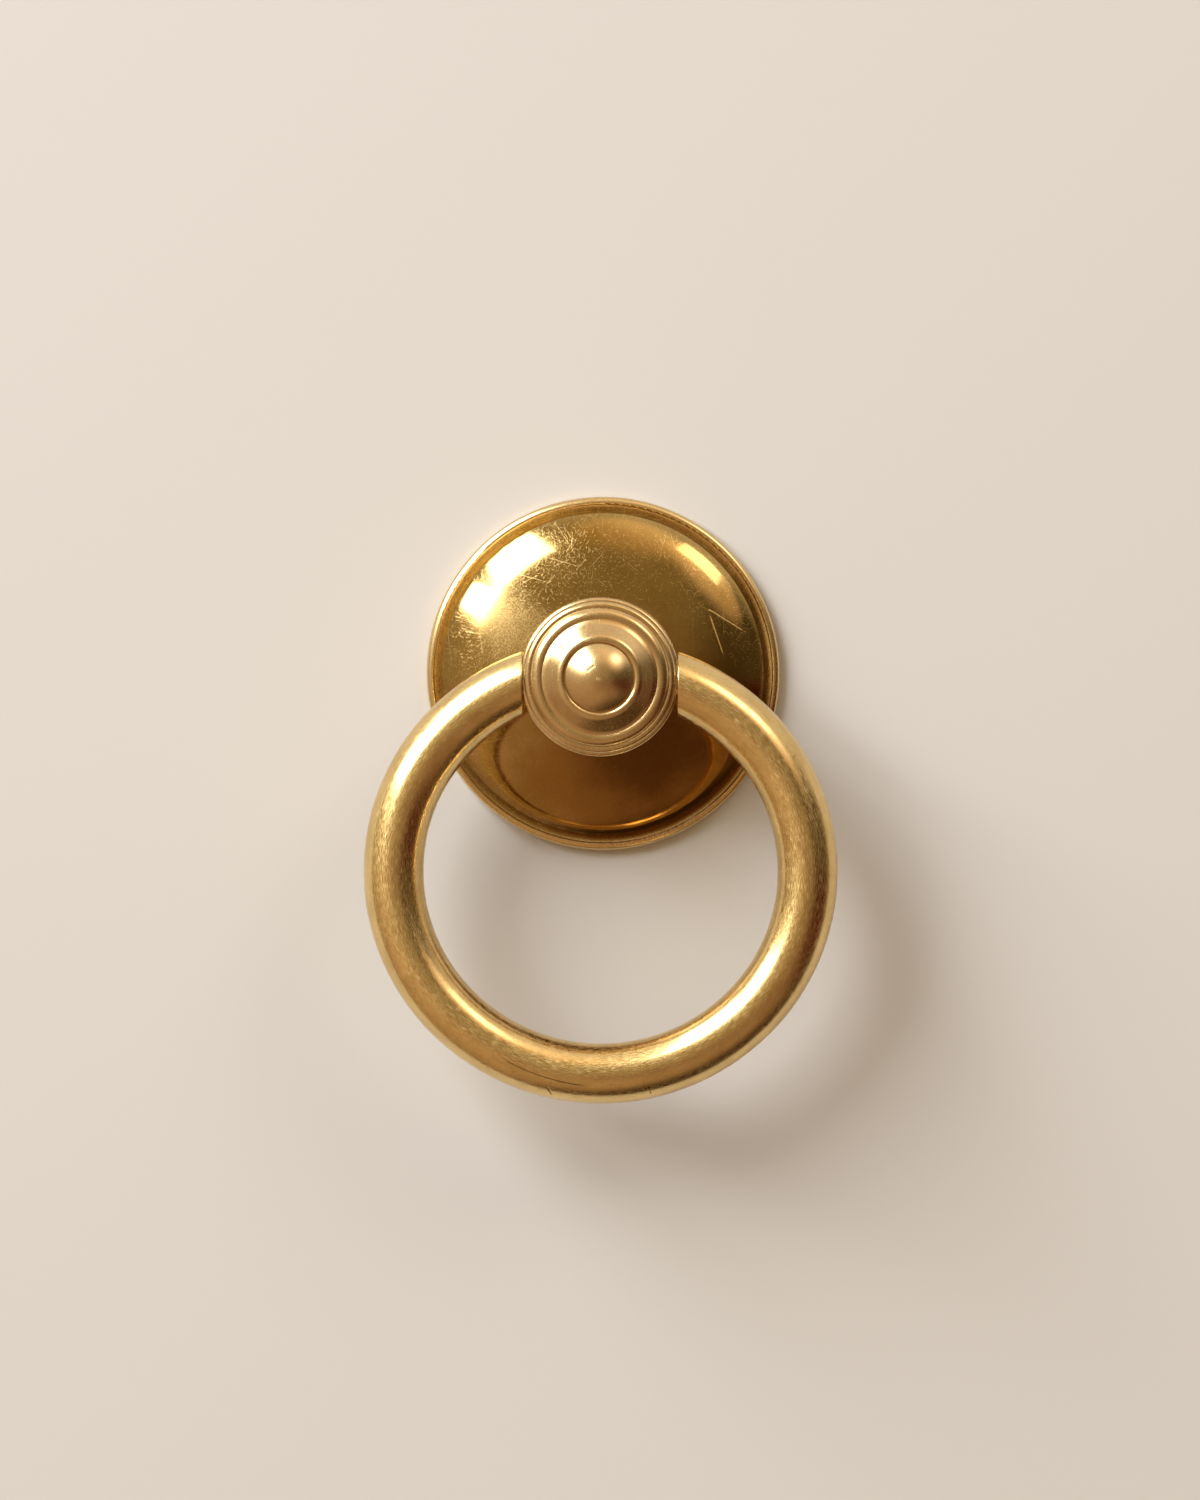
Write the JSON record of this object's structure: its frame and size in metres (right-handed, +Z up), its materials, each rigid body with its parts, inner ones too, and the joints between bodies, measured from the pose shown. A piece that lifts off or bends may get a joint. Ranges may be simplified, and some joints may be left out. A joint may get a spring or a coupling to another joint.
{
  "type": "ring pull handle",
  "caption": "Aged brass ring pull: a bent ring pinned in a turned post with a stepped finial and domed button, on a round domed rose with a beaded rim. The ring swings out to pull a door.",
  "frame": {"origin": "on the post's axis in the plane of the rose's back, at the mouth of the tapped hole", "axes": "+Y into the door, -Y is the front, +Z up, +X to the right seen from the front"},
  "size_m": [0.05, 0.0198, 0.0642],
  "materials": {
    "rose_brass": "polished brass gone dull brown with age, fine scratches every way and dark tarnish in the cove",
    "post_brass": "turned and polished brass, warm brown tarnish in the turned lines",
    "ring_brass": "hand-worn satin brass, bright where fingers rub"
  },
  "bodies": {
    "base": {"rose": "rose_brass", "post": "post_brass"},
    "ring": {"ring": "ring_brass"}
  },
  "joints": [
    {"name": "ring_swing", "type": "hinge", "parent": "base", "child": "ring", "pos_m": [0, -0.01346, 0], "axis": [-1, 0, 0], "range_deg": [-14, 194]}
  ]
}
